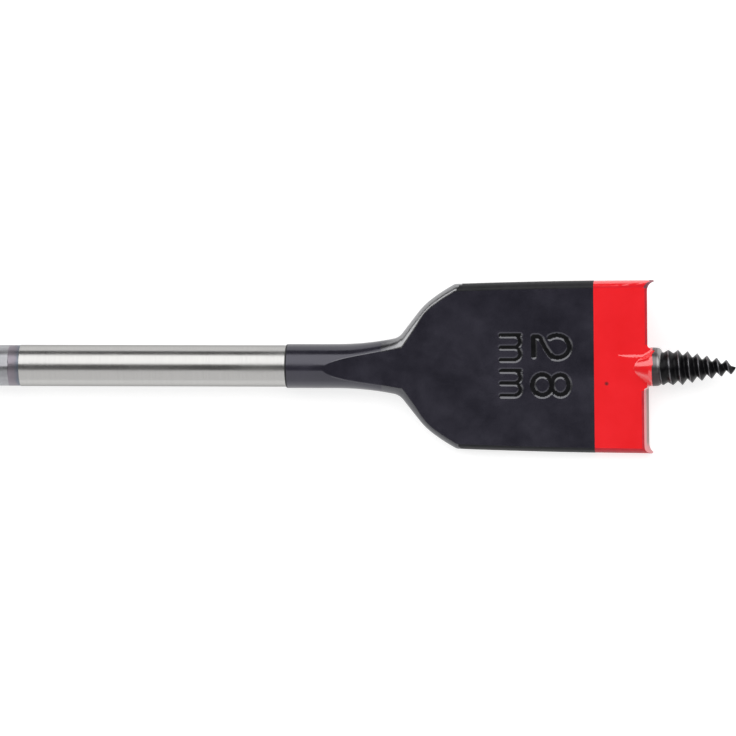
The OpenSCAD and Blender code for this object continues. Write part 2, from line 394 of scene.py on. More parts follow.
def edge_wear_and_highlight():
    """Coating thin at edges as wear, with a painted highlight that makes the shoulder towards +Y lighter,
    where the key light falls.
    """
    mat, tree, s = new_material("edge_wear_and_highlight")
    x, y, _ = bit_axes(tree)
    cloud = noise(tree, 900, detail=5)
    wander = map_range(tree, cloud, 0.3, 0.7, -0.6 * MM, 0.6 * MM)
    along = math_node(tree, "ADD", x, wander)
    rear = map_range(tree, along, SHOULDER_X * MM, (SHOULDER_X + WEAR_AND_HIGHLIGHT_LEN) * MM, 0, 1)
    front = map_range(tree, x, (SIDE_X + 0.4) * MM, (SIDE_X + 0.8) * MM, 1, 0)
    # Painted highlight: the +Y side of the shoulder is made lighter, as the key light catches it there.
    side = map_range(tree, y, -1 * MM, 1 * MM, 0.06, 1)
    shoulder = math_node(tree, "MULTIPLY", math_node(tree, "MULTIPLY", rear, front), side)
    # From the plain edge wear grey to a lighter grey that is a painted highlight on the +Y shoulder.
    colour = ramp(tree, shoulder, [(0.0, (0.11, 0.11, 0.118)), (1.0, (0.27, 0.27, 0.277))])
    tree.links.new(colour, s.inputs["Base Color"])
    tree.links.new(map_range(tree, cloud, 0.3, 0.7, 0.22, 0.3), s.inputs["Roughness"])
    s.inputs["Metallic"].default_value = 1.0
    bump(tree, [(cloud, 0.06, 0.00004)], s)
    return mat


def glossy_paint(name, dark, light):
    """Thick glossy lacquer, a little uneven in colour and gloss."""
    mat, tree, s = new_material(name)
    cloud = noise(tree, 180, detail=5)
    fine = noise(tree, 900, detail=3)
    tree.links.new(ramp(tree, cloud, [(0.25, dark), (0.75, light)]), s.inputs["Base Color"])
    tree.links.new(map_range(tree, cloud, 0.3, 0.7, 0.13, 0.19), s.inputs["Roughness"])
    s.inputs["Specular IOR Level"].default_value = 1.0
    s.inputs["Coat Weight"].default_value = 1.0
    s.inputs["Coat Roughness"].default_value = 0.09
    bump(tree, [(fine, 0.05, 0.00008)], s)
    return mat


def red_paint():
    """Red lacquer with one small dark chip."""
    mat = glossy_paint("red_paint", (0.90, 0.002, 0.007), (0.98, 0.004, 0.012))
    tree = mat.node_tree
    colour = tree.nodes["Principled BSDF"].inputs["Base Color"]
    plain = colour.links[0].from_socket
    coord = node(tree, "ShaderNodeTexCoord")
    away = node(tree, "ShaderNodeVectorMath", operation="DISTANCE")
    away.inputs[1].default_value = lay_down([CHIP])[0].tolist()
    tree.links.new(coord.outputs["Object"], away.inputs[0])
    mix = node(tree, "ShaderNodeMix", data_type="RGBA")
    chipped = map_range(tree, away.outputs["Value"], CHIP_CORE * MM, CHIP_RIM * MM, 1, 0)
    tree.links.new(chipped, mix.inputs["Factor"])
    tree.links.new(plain, mix.inputs["A"])
    mix.inputs["B"].default_value = (0.16, 0.008, 0.012, 1)
    tree.links.new(mix.outputs["Result"], colour)
    return mat


def dull_red(name, dark, light):
    """Duller, less glossy red along an edge, in the colours given."""
    mat, tree, s = new_material(name)
    cloud = noise(tree, 600, detail=5)
    tree.links.new(ramp(tree, cloud, [(0.3, dark), (0.7, light)]), s.inputs["Base Color"])
    tree.links.new(map_range(tree, cloud, 0.3, 0.7, 0.3, 0.4), s.inputs["Roughness"])
    s.inputs["Specular IOR Level"].default_value = 0.3
    bump(tree, [(cloud, 0.06, 0.00004)], s)
    return mat


def ground_relief():
    """Ground surface behind a cutting edge: a film of paint at its back, lightened to pale pink as a
    painted highlight, bare steel at the edge.
    """
    mat, tree, s = new_material("ground_relief")
    _, y, z = bit_axes(tree)
    towards_edge = math_node(tree, "MULTIPLY", z, math_node(tree, "SIGN", y))
    lines = noise(tree, 1000, (0.5, 0.5, 9.0), detail=4)
    wander = map_range(tree, lines, 0.3, 0.7, -0.12 * MM, 0.12 * MM)
    uneven = math_node(tree, "ADD", towards_edge, wander)
    bare = map_range(tree, uneven, -0.45 * MM, -0.05 * MM, 0, 1)
    from_axis = math_node(tree, "ABSOLUTE", y)
    off_spur = map_range(tree, from_axis, (CUT_R - 1.8) * MM, (CUT_R - 1.1) * MM, 1, 0.15)
    share = math_node(tree, "MULTIPLY", bare, off_spur)
    # The pale pink at the back is red paint with a painted highlight mixed in.
    colour = ramp(tree, share, [
        (0.0, (0.82, 0.32, 0.34)),
        (0.5, (0.50, 0.31, 0.30)),
        (1.0, (0.30, 0.19, 0.165))])
    tree.links.new(colour, s.inputs["Base Color"])
    tree.links.new(map_range(tree, share, 0, 1, 0.5, 0.36), s.inputs["Roughness"])
    s.inputs["Metallic"].default_value = 0.7
    bump(tree, [(lines, 0.15, 0.00003)], s)
    return mat


def spur_steel():
    mat, tree, s = new_material("spur_steel")
    patches = noise(tree, 1500, detail=4)
    colour = ramp(tree, patches, [(0.3, (0.24, 0.055, 0.075)), (0.7, (0.36, 0.14, 0.17))])
    tree.links.new(colour, s.inputs["Base Color"])
    s.inputs["Metallic"].default_value = 0.6
    s.inputs["Roughness"].default_value = 0.36
    bump(tree, [(patches, 0.1, 0.00003)], s)
    return mat


def collar_steel_painted_light():
    """Turned collar, with painted shade making it darker on the -Y side and a painted highlight making it
    lighter at its rim on the +Y side.
    """
    mat, tree, s = new_material("collar_steel_painted_light")
    x, y, _ = bit_axes(tree)
    lines = noise(tree, 1000, (6.0, 0.05, 0.05), detail=4)
    # Painted highlight at the rim and painted shade on the -Y side: the colour follows where the key
    # light falls.
    rim = map_range(tree, x, (RAKE_OUT_X + 0.05) * MM, (RAKE_OUT_X + 0.2) * MM, 0.6, 0.92)
    side = map_range(tree, y, -0.6 * MM, 0.6 * MM, 0, 1)
    painted_light = math_node(tree, "MULTIPLY", side, rim)
    share = math_node(tree, "ADD", painted_light, map_range(tree, lines, 0.3, 0.7, 0, 0.08))
    colour = ramp(tree, share, [
        (0.0, (0.055, 0.045, 0.048)),
        (0.65, (0.155, 0.145, 0.147)),
        (1.0, (0.34, 0.335, 0.335))])
    tree.links.new(colour, s.inputs["Base Color"])
    s.inputs["Metallic"].default_value = 1.0
    s.inputs["Roughness"].default_value = 0.34
    bump(tree, [(lines, 0.12, 0.00003)], s)
    return mat


def crest_steel_and_highlight():
    mat, tree, s = new_material("crest_steel_and_highlight")
    patches = noise(tree, 1200, detail=4)
    # Lighter bare steel on the crests, partly a painted highlight along them.
    colour = ramp(tree, patches, [(0.3, (0.09, 0.088, 0.095)), (0.7, (0.19, 0.188, 0.2))])
    tree.links.new(colour, s.inputs["Base Color"])
    s.inputs["Metallic"].default_value = 1.0
    s.inputs["Roughness"].default_value = 0.34
    bump(tree, [(patches, 0.08, 0.00003)], s)
    return mat


def heat_band():
    """Band tinted by heat: violet grey at its back and blue grey at its front."""
    mat, tree, s = new_material("heat_band")
    x, _, _ = bit_axes(tree)
    patches = noise(tree, 700, detail=5)
    wander = map_range(tree, patches, 0.3, 0.7, -0.2 * MM, 0.2 * MM)
    along = math_node(tree, "ADD", x, wander)
    share = map_range(tree, along, HEX_LEN * MM, GROUND_X * MM, 0, 1)
    colour = ramp(tree, share, [
        (0.0, (0.25, 0.225, 0.255)),
        (0.55, (0.21, 0.19, 0.215)),
        (1.0, (0.135, 0.16, 0.195))])
    tree.links.new(colour, s.inputs["Base Color"])
    tree.links.new(map_range(tree, patches, 0.3, 0.7, 0.32, 0.42), s.inputs["Roughness"])
    s.inputs["Metallic"].default_value = 1.0
    bump(tree, [(patches, 0.06, 0.00004)], s)
    return mat


def thread_black():
    mat, tree, s = new_material("thread_black")
    cloud = noise(tree, 900, detail=5)
    colour = ramp(tree, cloud, [(0.3, (0.002, 0.002, 0.0026)), (0.7, (0.006, 0.0058, 0.007))])
    tree.links.new(colour, s.inputs["Base Color"])
    tree.links.new(map_range(tree, cloud, 0.3, 0.7, 0.26, 0.38), s.inputs["Roughness"])
    s.inputs["Specular IOR Level"].default_value = 0.14
    bump(tree, [(cloud, 0.06, 0.00004)], s)
    return mat


# Shank: hexagon with chamfer and catch groove, band and ground length

def shank_angles():
    """Directions round the axis, with points on every corner of the hexagon."""
    corner = math.acos(HEX_FLATS / 2 / REAR_R)
    flat = np.linspace(-corner, corner, 11)
    round_part = np.linspace(corner, math.pi / 3 - corner, 5)[1:-1]
    sixth = np.concatenate([flat, round_part])
    return np.concatenate([sixth + i * math.pi / 3 for i in range(6)])


def shank_rows():
    """Places of the rings along the shank, close together at its steps and in the groove."""
    groove_half = math.sqrt(GROOVE_R ** 2 - (GROOVE_R + GROOVE_FLOOR_R - REAR_R) ** 2)
    return np.concatenate([
        [0.0, END_SOFT],
        np.linspace(END_CHAMFER * 0.5, END_CHAMFER * 1.5, 8),
        np.linspace(2, GROOVE_X - groove_half - 0.2, 5),
        np.linspace(GROOVE_X - groove_half, GROOVE_X + groove_half, 31),
        np.linspace(GROOVE_X + groove_half + 0.2, HEX_LEN - 0.3, 10),
        HEX_LEN + np.array([-0.06, -0.03, 0.03, 0.08, 0.3]),
        GROUND_X + np.array([-0.3, -0.1, -0.03, 0, 0.05, 0.12]),
        np.linspace(GROUND_X + 0.5, NECK_X + 1.0, 24)])


def shank_radius(x, angle):
    """Radius in a direction measured from the middle of one flat."""
    turn = (angle + math.pi / 6) % (math.pi / 3) - math.pi / 6
    hexagon = min(REAR_R, HEX_FLATS / 2 / math.cos(turn))
    if x <= HEX_LEN:
        r = min(hexagon, REAR_R - CHAMFER_SLOPE * max(END_CHAMFER - x, 0))
        reach = GROOVE_R ** 2 - (x - GROOVE_X) ** 2
        if reach > 0:
            r = min(r, GROOVE_FLOOR_R + GROOVE_R - math.sqrt(reach))
        return r
    if x <= GROUND_X:
        from_rim = min(x - HEX_LEN, GROUND_X - x)
        return REAR_R - BAND_EASE if from_rim < BAND_RIM else REAR_R
    return GROUND_R


def make_shank(materials):
    angles = shank_angles()
    rows = shank_rows()
    points = [(0.0, 0.0, 0.0)]
    for x in rows:
        for a in angles:
            r = shank_radius(x, a) if x > 0 else shank_radius(0, a) - END_SOFT
            turn = a + HEX_TURN + math.pi / 2
            points.append((x, r * math.cos(turn), r * math.sin(turn)))
    points.append((rows[-1], 0.0, 0.0))
    n = len(angles)
    faces = [f[::-1] for f in grid_faces(len(rows), n, start=1)]
    middle = rows[:-1] + np.diff(rows) / 2
    bright_from = GROUND_X - BAND_EASE
    zone = np.digitize(middle, [HEX_LEN, bright_from])
    slots = np.repeat(zone, n).tolist()
    end = len(points) - 1
    faces += [(0, 1 + j, 1 + (j + 1) % n) for j in range(n)]
    faces += [(end, end - n + (j + 1) % n, end - n + j) for j in range(n)]
    slots += [0] * n + [2] * n
    piece = make_piece("shank", points, faces, materials, slots, sharp=24)


# Size mark stamped in the upper face, as strokes in millimetres along the reading direction and up

MARK_DEPTH = 0.2
MARK_WALL = 0.36
MARK_STEP = 0.12


def stroke_arc(centre, rx, ry, a, b, steps=28):
    t = np.radians(np.linspace(a, b, steps + 1))
    return np.column_stack([centre[0] + rx * np.cos(t), centre[1] + ry * np.sin(t)])


def mark_strokes():
    """Plain size mark, a two and an eight with two letters m below: lines and their half widths."""
    two = np.vstack([
        stroke_arc((2.0, 4.1), 1.8, 2.0, 215, -20),
        [[3.2, 2.9], [2.0, 2.1], [0.7, 1.5]],
        [[0.4, 1.0], [0.4, 0.35], [3.5, 0.35]]])
    eight_top = stroke_arc((2.05, 4.55), 1.62, 1.38, 0, 360)
    eight_low = stroke_arc((2.05, 1.65), 1.66, 1.54, 0, 360)
    letter = [
        np.array([[0.4, 0.3], [0.4, 3.4]]),
        np.vstack([stroke_arc((1.4, 2.4), 1.0, 1.0, 180, 0, 14), [[2.4, 0.3]]]),
        np.vstack([stroke_arc((3.4, 2.4), 1.0, 1.0, 180, 0, 14), [[4.4, 0.3]]])]
    top, low = 119.5, 114.27
    digit_half, letter_half = 0.24, 0.16
    placed = [
        (two, 5.4, top, digit_half),
        (eight_top, -0.75, top, digit_half),
        (eight_low, -0.75, top, digit_half)]
    placed += [(run, 5.65, low, letter_half) for run in letter]
    placed += [(run, -0.12, low, letter_half) for run in letter]
    strokes = []
    for run, left, base, half in placed:
        strokes.append((np.column_stack([base + run[:, 1], left - run[:, 0]]), half))
    return strokes


def mark_height(x, y):
    """Height of the stamped face against the plain one, negative in the strokes."""
    out = np.zeros_like(x)
    near = (x >= MARK_X) & (x <= MARK_END) & (np.abs(y) < MARK_REACH)
    p = np.column_stack([x[near], y[near]])
    beside = np.full(len(p), MARK_REACH)
    for run, half in mark_strokes():
        for a, b in zip(run[:-1], run[1:]):
            d = b - a
            t = np.clip(((p - a) @ d) / (d @ d), 0, 1)
            beside = np.minimum(beside, np.linalg.norm(p - a - t[:, None] * d, axis=1) - half)
    out[near] = -MARK_DEPTH * (1 - smooth_step(-MARK_WALL / 3, MARK_WALL, beside))
    return out


# Blade: neck, ramps and flat, as rings of points across the axis

FACE_REACH = 13.2


def face_shares(middle_step, boss_step):
    """Places across a face, as shares of the reach from the axis, closest at the boss and the mark."""
    middle = np.arange(0, 1.38, middle_step)
    boss_side = np.arange(1.41, 3.7, boss_step)
    mark = np.arange(3.75, 6.3, MARK_STEP)
    outer = np.linspace(6.3, FACE_REACH - 0.5, 16)
    rim = np.array([FACE_REACH - 0.3, FACE_REACH - 0.15])
    half = np.concatenate([middle, boss_side, mark, outer, rim]) / FACE_REACH
    return np.concatenate([-half[:0:-1], half])


BLADE_SHARES = face_shares(middle_step=MARK_STEP, boss_step=0.075)
HEAD_SHARES = face_shares(middle_step=0.06, boss_step=0.045)
EDGE_STEPS = 14
EDGE_COLUMNS = EDGE_STEPS + 3
NECK_SHARE = 0.9985


def ring_frame(x):
    """Half width, half thickness, edge radius and skew of the section at x."""
    if x < RAMP_X:
        shoulder = np.clip((NECK_X + NECK_ROUND - x) / NECK_ROUND, 0, 1)
        r = STOCK_R - NECK_ROUND * (1 - math.sqrt(1 - shoulder ** 2))
        return r, NECK_SHARE * r, r, 1.0
    t = min(float(half_thickness(x)), NECK_SHARE * STOCK_R)
    return float(half_width(x)), t, float(edge_radius(t)), 1 / math.cos(float(heading(x)))


def closed_section(upper, turn, right):
    """Points round a section: upper face from -Y to +Y, +Y edge, lower face back, -Y edge."""
    return np.vstack([
        upper,
        turn,
        right,
        turn * [1, -1],
        upper[::-1] * [1, -1],
        turn * [-1, -1],
        right[::-1] * [-1, 1],
        turn * [-1, 1]])


def ring(x, shares):
    """Section at x as a closed ring of points, with softened creases between faces and edges."""
    w, t, r, k = ring_frame(x)
    limit = math.asin(min(1.0, t / r))
    crease = w - k * r * (1 - math.cos(limit))
    soft = min(CREASE_ROUND / r, 0.3 * limit)
    angles = np.linspace(limit - soft, -(limit - soft), EDGE_STEPS + 1)
    edge_y = w - k * r * (1 - np.cos(angles))
    edge_z = r * np.sin(angles)
    inner = max(crease - k * CREASE_ROUND, 0.8 * crease)
    face_y = shares * inner
    if x < RAMP_X:
        face_z = np.sqrt(r * r - face_y ** 2)
        turn_z = math.sqrt(r * r - crease ** 2)
    else:
        face_z = np.full(len(face_y), t)
        turn_z = t - 0.25 * CREASE_ROUND * math.tan((math.pi / 2 - limit) / 2)
    upper = np.column_stack([face_y, face_z])
    right = np.column_stack([edge_y, edge_z])
    turn = np.array([[crease, turn_z]])
    points = closed_section(upper, turn, right)
    return np.column_stack([np.full(len(points), x), points])


def ring_count(shares):
    return 2 * len(shares) + 2 * EDGE_COLUMNS


def blade_rows():
    """Places of the rings along the blade, close together at its bends and at the mark."""
    root_x = 97.0
    return np.concatenate([
        NECK_X + NECK_ROUND * (1 - np.cos(np.linspace(0, math.pi / 2, 7))),
        np.linspace(NECK_X + 0.8, RAMP_X - 0.01, 6),
        RAMP_X + FLARE_X * np.linspace(0.03, 1, 12) ** 2,
        np.linspace(RAMP_X + FLARE_X + 0.4, root_x, 22),
        np.linspace(root_x + 0.15, SIDE_X - 0.1, 66),
        np.linspace(SIDE_X + 0.4, MARK_X - 0.2, 8),
        np.arange(MARK_X, MARK_END, MARK_STEP),
        np.linspace(MARK_END + 0.3, PAINT_X, 6)])


def mark_finish(rows, depth):
    """Which faces of the upper side get painted shade in the mark, and which get a painted highlight on
    its walls that face the key light.
    """
    mean = (depth[:-1, :-1] + depth[1:, :-1] + depth[:-1, 1:] + depth[1:, 1:]) / 4
    along = np.diff(depth, axis=0)[:, :-1] / np.diff(rows)[:, None]
    across = np.diff(depth, axis=1)[:-1] / np.diff(BLADE_SHARES * FACE_REACH)[None, :]
    sunk = -mean / MARK_DEPTH
    lit_wall = along - across > 0.08
    # Painted shade goes in the sunk strokes, a painted highlight on their lit walls.
    stamped = sunk > 0.3
    lit_wall_highlight = lit_wall & (sunk > 0.08) & (sunk < 0.75)
    return stamped, lit_wall_highlight


def blade_finish(rows, depth):
    """Finish of every face: 0 coated, 1 dull on sides and neck step, 2 edge wear and painted highlight, 3
    painted shade in the mark.
    """
    n, e = len(BLADE_SHARES), EDGE_COLUMNS
    middle = (rows[:-1] + np.diff(rows) / 2)[:, None]
    column = np.arange(ring_count(BLADE_SHARES))[None, :]
    from_crease = np.minimum(np.abs(column - n), np.abs(column - (2 * n + 2 * e - 2)))
    sides = ((column >= n - 1) & (column < n + e)) | (column >= 2 * n + e - 1)
    wear_start = RAMP_X + 1.5
    slant = 0.15 * np.minimum(from_crease, 6)
    wear_and_highlight_end = SIDE_X - 0.5 + slant
    past_shoulder = sides & (middle > SHOULDER_X)
    worn_crease = (from_crease == 0) & (middle > wear_start)
    # Slot 2 is edge wear on the creases, and on the shoulder sides also a painted highlight from its
    # material.
    wear_and_highlight = (worn_crease | past_shoulder) & (middle < wear_and_highlight_end)
    slots = np.where(wear_and_highlight, 2, np.where(past_shoulder, 1, 0))
    slots[middle[:, 0] < NECK_X + NECK_ROUND] = 1
    stamped, lit_wall_highlight = mark_finish(rows, depth)
    # Painted shade: the sunk strokes of the mark are made near black, as shade in the grooves.
    slots[:, :n - 1][stamped] = 3
    # Painted highlight: stroke walls that face the key light get the lighter edge material.
    slots[:, :n - 1][lit_wall_highlight] = 2
    return slots


def make_blade(materials):
    rows = blade_rows()
    points = np.vstack([ring(x, BLADE_SHARES) for x in rows])
    n = len(BLADE_SHARES)
    count = ring_count(BLADE_SHARES)
    upper = np.zeros(count, dtype=bool)
    upper[:n] = True
    on_face = np.tile(upper, len(rows))
    depth = mark_height(points[on_face, 0], points[on_face, 1])
    points[on_face, 2] += depth
    slots = blade_finish(rows, depth.reshape(len(rows), n)).ravel().tolist()
    faces = [f[::-1] for f in grid_faces(len(rows), count)]
    faces.append(tuple(range(count)))
    last = (len(rows) - 1) * count
    faces.append(tuple(last + j for j in reversed(range(count))))
    piece = make_piece("blade", points, faces, materials, slots + [0, 0], sharp=50)


# Cutting head: painted front of the blade, with ground hollows, boss, relief and spurs

def rake_plane(x):
    return HALF_T - RAKE_DEPTH / RAKE_LEN * np.maximum(x - RAKE_X, 0)


def boss_radius(x):
    """Radius of the boss: a cone that rises out of the blade and runs into the collar."""
    return -smooth_max(-COLLAR_R, BOSS_SLOPE * (BOSS_TOP_X - x) - COLLAR_R, BOSS_ROUND)


def hollow_height(x, y):
    """Height left by the round-cornered wheel that grinds the hollow and runs out over the boss."""
    foot = RAKE_FOOT + RAKE_RUN_OUT * np.maximum(x - RAKE_TURN_X, 0)
    steep = 0.96 * WHEEL_R
    inward = np.maximum(foot - y, 0)
    corner = WHEEL_R - np.sqrt(WHEEL_R ** 2 - np.minimum(inward, steep) ** 2)
    side = WHEEL_SIDE * np.maximum(inward - steep, 0)
    uncut = 3 * COLLAR_R
    return np.where(x > RAKE_X, rake_plane(x) + corner + side, uncut)


def head_height(x, y, z):
    """Height of the leading side's surface over a point of the plain section at height z."""
    foot_round, ridge_round = 0.06, 0.02
    rise = np.sqrt(np.maximum(np.maximum(boss_radius(x), 0) ** 2 - y ** 2, 0))
    with_boss = np.where(y > -0.05, smooth_max(z, rise, foot_round), z)
    return -smooth_max(-with_boss, -hollow_height(x, y), ridge_round)


def front_at(y, z):
    """Place of the front surface: edge, spur and relief of the half that y is on, fillet at the boss."""
    swap_over = 0.8
    foot, tip = CUT_R - SPUR_W, CUT_R - SPUR_TIP
    s = np.clip((np.abs(y) - foot) / (tip - foot), 0, 1)
    inner = np.clip((COLLAR_R + FILLET_R - np.abs(y)) / FILLET_R, 0, 1)
    fillet = FILLET_R * (1 - np.sqrt(1 - inner * inner))
    spur = np.where(y > 0, SPUR_H, LOW_SPUR_H) * (1 - np.sqrt(1 - s * s))
    leading = np.clip(y / swap_over, -1, 1)
    return EDGE_X + spur + fillet - RELIEF_LEAN * (HALF_T - RAKE_DEPTH - z * leading)


def head_ring(base, share):
    """Ring at a share of the way from the base ring at the paint line to the front."""
    _, base_y, base_z = base.T
    full_growth = 12.0
    passes = 4
    y, z = base_y, base_z
    for _ in range(passes):
        x = PAINT_X + (front_at(y, z) - PAINT_X) * share
        grow = half_width(x) - half_width(PAINT_X)
        y = base_y + np.sign(base_y) * grow * np.minimum(1, np.abs(base_y) / full_growth)
        top = head_height(x, y, np.abs(base_z))
        low = -head_height(x, -y, np.abs(base_z))
        z = np.where(base_z > 0, top, np.where(base_z < 0, low, 0))
    return np.column_stack([x, y, z])


HEAD_ROWS = 90
SPUR_ROWS = 11
EDGE_ROWS = 7


def head_slot(row, place):
    """Finish at a place of the base ring, with rows counted back from the front.

    0 is red, 2 a darker red edge that is painted shade, 3 a bare spur and 4 the rim beside the leading
    crease.
    """
    _, y, z = place
    leading = y * z > 0
    on_spur = abs(y) > CUT_R - SPUR_W + 0.3
    off_boss = abs(y) > COLLAR_R + FILLET_R
    on_round = HALF_T / 3 < abs(z) < HALF_T - 0.01
    by_crease = abs(z) > HALF_T - 0.02 and abs(y) > FACE_REACH - 0.35
    if row < SPUR_ROWS and leading and on_spur:
        return 3
    # Painted shade: the front rows along the cutting edge and the rounded trailing edges get the darker
    # red.
    if row < EDGE_ROWS and off_boss:
        return 2
    if on_round and not leading:
        return 2
    if by_crease and leading:
        return 4
    return 0


def front_rims(last):
    """Points of the front's upper and lower rim, from the -Y edge to the +Y edge, in the last ring."""
    n, e = len(HEAD_SHARES), EDGE_COLUMNS
    half_edge = (e - 1) // 2
    left = last + 2 * n + e
    upper = [left + j for j in range(half_edge, e)]
    upper += [last + j for j in range(n + half_edge + 1)]
    lower = [left + j for j in range(half_edge, -1, -1)]
    lower += [left - 1 - j for j in range(n)]
    lower += [last + n + e - 1 - j for j in range(half_edge + 1)]
    return upper, lower


def front_faces(last, points):
    """Strips of the front surface, from the upper rim to the lower one, and their finishes."""
    upper, lower = front_rims(last)
    faces = []
    slots = []
    for j in range(len(upper) - 1):
        quad = (upper[j], upper[j + 1], lower[j + 1], lower[j])
        corners = list(dict.fromkeys(quad))
        if len(corners) > 2:
            faces.append(tuple(reversed(corners)))
            slots.append(1 if abs(points[upper[j]][1]) > COLLAR_R + FILLET_R else 0)
    return faces, slots


def make_head(materials):
    shares = np.concatenate([np.linspace(0, 0.4, 8)[:-1], np.linspace(0.4, 1, HEAD_ROWS)])
    base = ring(PAINT_X, HEAD_SHARES)
    points = np.vstack([head_ring(base, share) for share in shares])
    count = ring_count(HEAD_SHARES)
    faces = [f[::-1] for f in grid_faces(len(shares), count)]
    slots = []
    for row in reversed(range(len(shares) - 1)):
        slots += [head_slot(row, place) for place in points[:count]]
    faces.append(tuple(range(count)))
    slots.append(0)
    front, front_slots = front_faces((len(shares) - 1) * count, points)
    piece = make_piece("cutting_head", points, faces + front, materials, slots + front_slots, sharp=28)


# Lead screw: boss and collar as a turned form, and the thread as a ribbon wound on a cone

COLLAR_SIDES = 240


def ground_away(x, r, a):
    """Radius left after the ground hollows of both halves are taken off a turned form."""
    contact = 0.001
    steps = np.linspace(0.3, 1, 141) * r
    for turn in (0, math.pi):
        y, z = steps * math.cos(a + turn), steps * math.sin(a + turn)
        if y[-1] <= 0 or z[-1] <= 0 or x > RAKE_OUT_X:
            continue
        turned = np.sqrt(np.maximum(r * r - y * y, 0))
        height = np.minimum(turned, hollow_height(x, y) - SCREW_INSET)
        r = float(steps[z <= height + contact].max())
    return r


def collar_profile():
    """Places and radii along the boss, the slightly tapered collar and its rounded nose."""
    foot_r = 0.6
    flat_steps = 12
    step_taper = 0.006
    start = BOSS_TOP_X - (COLLAR_R - foot_r) / BOSS_SLOPE
    profile = []
    for x in np.linspace(start, BOSS_TOP_X, 40):
        profile.append((x, float(boss_radius(x)) - SCREW_INSET))
    for i in range(1, flat_steps + 1):
        x = BOSS_TOP_X + COLLAR_FLAT * i / flat_steps
        profile.append((x, COLLAR_R - SCREW_INSET - step_taper * i))
    nose_r = profile[-1][1]
    for a in np.linspace(0, math.pi / 2, 9)[1:]:
        x = COLLAR_END - COLLAR_ROUND * (1 - math.sin(a))
        profile.append((x, nose_r - COLLAR_ROUND * (1 - math.cos(a))))
    return profile


def make_collar():
    """Points, faces and finishes of the boss and collar: 0 painted, 1 bare."""
    profile = collar_profile()
    n = COLLAR_SIDES
    points = []
    painted = []
    for x, r in profile:
        for j in range(n):
            a = 2 * math.pi * j / n
            left = ground_away(x, r, a)
            points.append((x, left * math.cos(a), left * math.sin(a)))
            painted.append(x < BOSS_TOP_X + BOSS_PAINT or left < r - SCREW_INSET)
    faces = grid_faces(len(profile), n)
    slots = [0 if all(painted[c] for c in face) else 1 for face in faces]
    last = (len(profile) - 1) * n
    faces.append(tuple(reversed(range(n))))
    faces.append(tuple(last + j for j in range(n)))
    return points, faces, slots + [0, 1]


THREAD_X = COLLAR_END + 0.1 - PITCH
THREAD_END = TIP_X - 0.4
THREAD_SHARES = (0, 0.05, 0.12, 0.22, 0.3, 0.37, 0.43, 0.47, 0.5, 0.53, 0.57, 0.66, 0.78, 0.88, 0.95)
CREST_FROM, CREST_TO = 0.36, 0.52
CREST_GAIN = 0.05
FADE_TURNS = 0.25
FADE_TO = 0.4
TIP_GAP = 0.06
TURN_STEPS = 72
THREAD_STEPS = int(TURN_STEPS * ((THREAD_END - THREAD_X - PITCH / 2) / PITCH))


def screw_root(x):
    """Radius of the cone under the thread."""
    largest = 0.87 * BLANK_R
    rear_r = BLANK_R - 0.04
    return min(largest, TIP_R + (rear_r - TIP_R) * (TIP_X - x) / SCREW_LEN)


def thread_shape(u):
    """Height of the thread across one pitch: a round-bottomed groove and a narrow crest."""
    crest, groove = 0.08, 0.8
    crest_h, groove_h = 0.96, 0.1
    side = abs(u - 0.5) / 0.5
    if side < crest:
        return 1 - (1 - crest_h) * (side / crest) ** 2
    if side > groove:
        return groove_h * ((1 - side) / (1 - groove)) ** 2
    return crest_h - (crest_h - groove_h) * (side - crest) / (groove - crest)


def screw_place(i, x, r):
    """Point at step i round the axis."""
    a = THREAD_TURN + 2 * math.pi * i / TURN_STEPS
    return (x, r * math.cos(a) + THREAD_SHIFT, r * math.sin(a))


def ridge_place(i, u):
    """Point of the thread at step i and share u of the pitch; the thread fades near the tip."""
    x = min(THREAD_X + PITCH * (i / TURN_STEPS + u), TIP_X - TIP_GAP)
    root = screw_root(x)
    fade = min(1.0, FADE_TO + (THREAD_STEPS - i) / (FADE_TURNS * TURN_STEPS))
    depth = min(THREAD_DEPTH, BLANK_R + CREST_GAIN - root) * fade
    return screw_place(i, x, root + thread_shape(u) * depth)


def thread_points():
    """Points of the ribbon, of its last turn's front edge, and of the rings at its base and tip."""
    base_x = THREAD_X - 0.3
    tip_r = 0.6 * TIP_R
    last_turn = range(THREAD_STEPS - TURN_STEPS + 1, THREAD_STEPS + 1)
    points = []
    for i in range(THREAD_STEPS + 1):
        points += [ridge_place(i, u) for u in THREAD_SHARES]
    points += [ridge_place(i, 1) for i in last_turn]
    points += [screw_place(i, base_x, screw_root(base_x)) for i in range(TURN_STEPS)]
    points += [screw_place(i, TIP_X, tip_r) for i in range(TURN_STEPS)]
    return points


def ribbon_point(i, q):
    """Number of the point at step i and column q, where the last column is the next turn's first."""
    columns = len(THREAD_SHARES)
    if q < columns:
        return i * columns + q
    if i + TURN_STEPS <= THREAD_STEPS:
        return (i + TURN_STEPS) * columns
    return (THREAD_STEPS + 1) * columns + i - (THREAD_STEPS - TURN_STEPS + 1)


def base_point(i):
    return (THREAD_STEPS + 1) * len(THREAD_SHARES) + TURN_STEPS + i % TURN_STEPS


def tip_point(i):
    return base_point(i) + TURN_STEPS


def ribbon_faces():
    """Faces of the ribbon, each turn joined to the next, and finishes: 2 black, 3 a bare crest, lighter
    as a painted highlight.
    """
    v = ribbon_point
    faces = []
    slots = []
    for i in range(THREAD_STEPS):
        for q, share in enumerate(THREAD_SHARES):
            faces.append((v(i, q), v(i + 1, q), v(i + 1, q + 1), v(i, q + 1)))
            slots.append(3 if CREST_FROM < share < CREST_TO else 2)
    return faces, slots


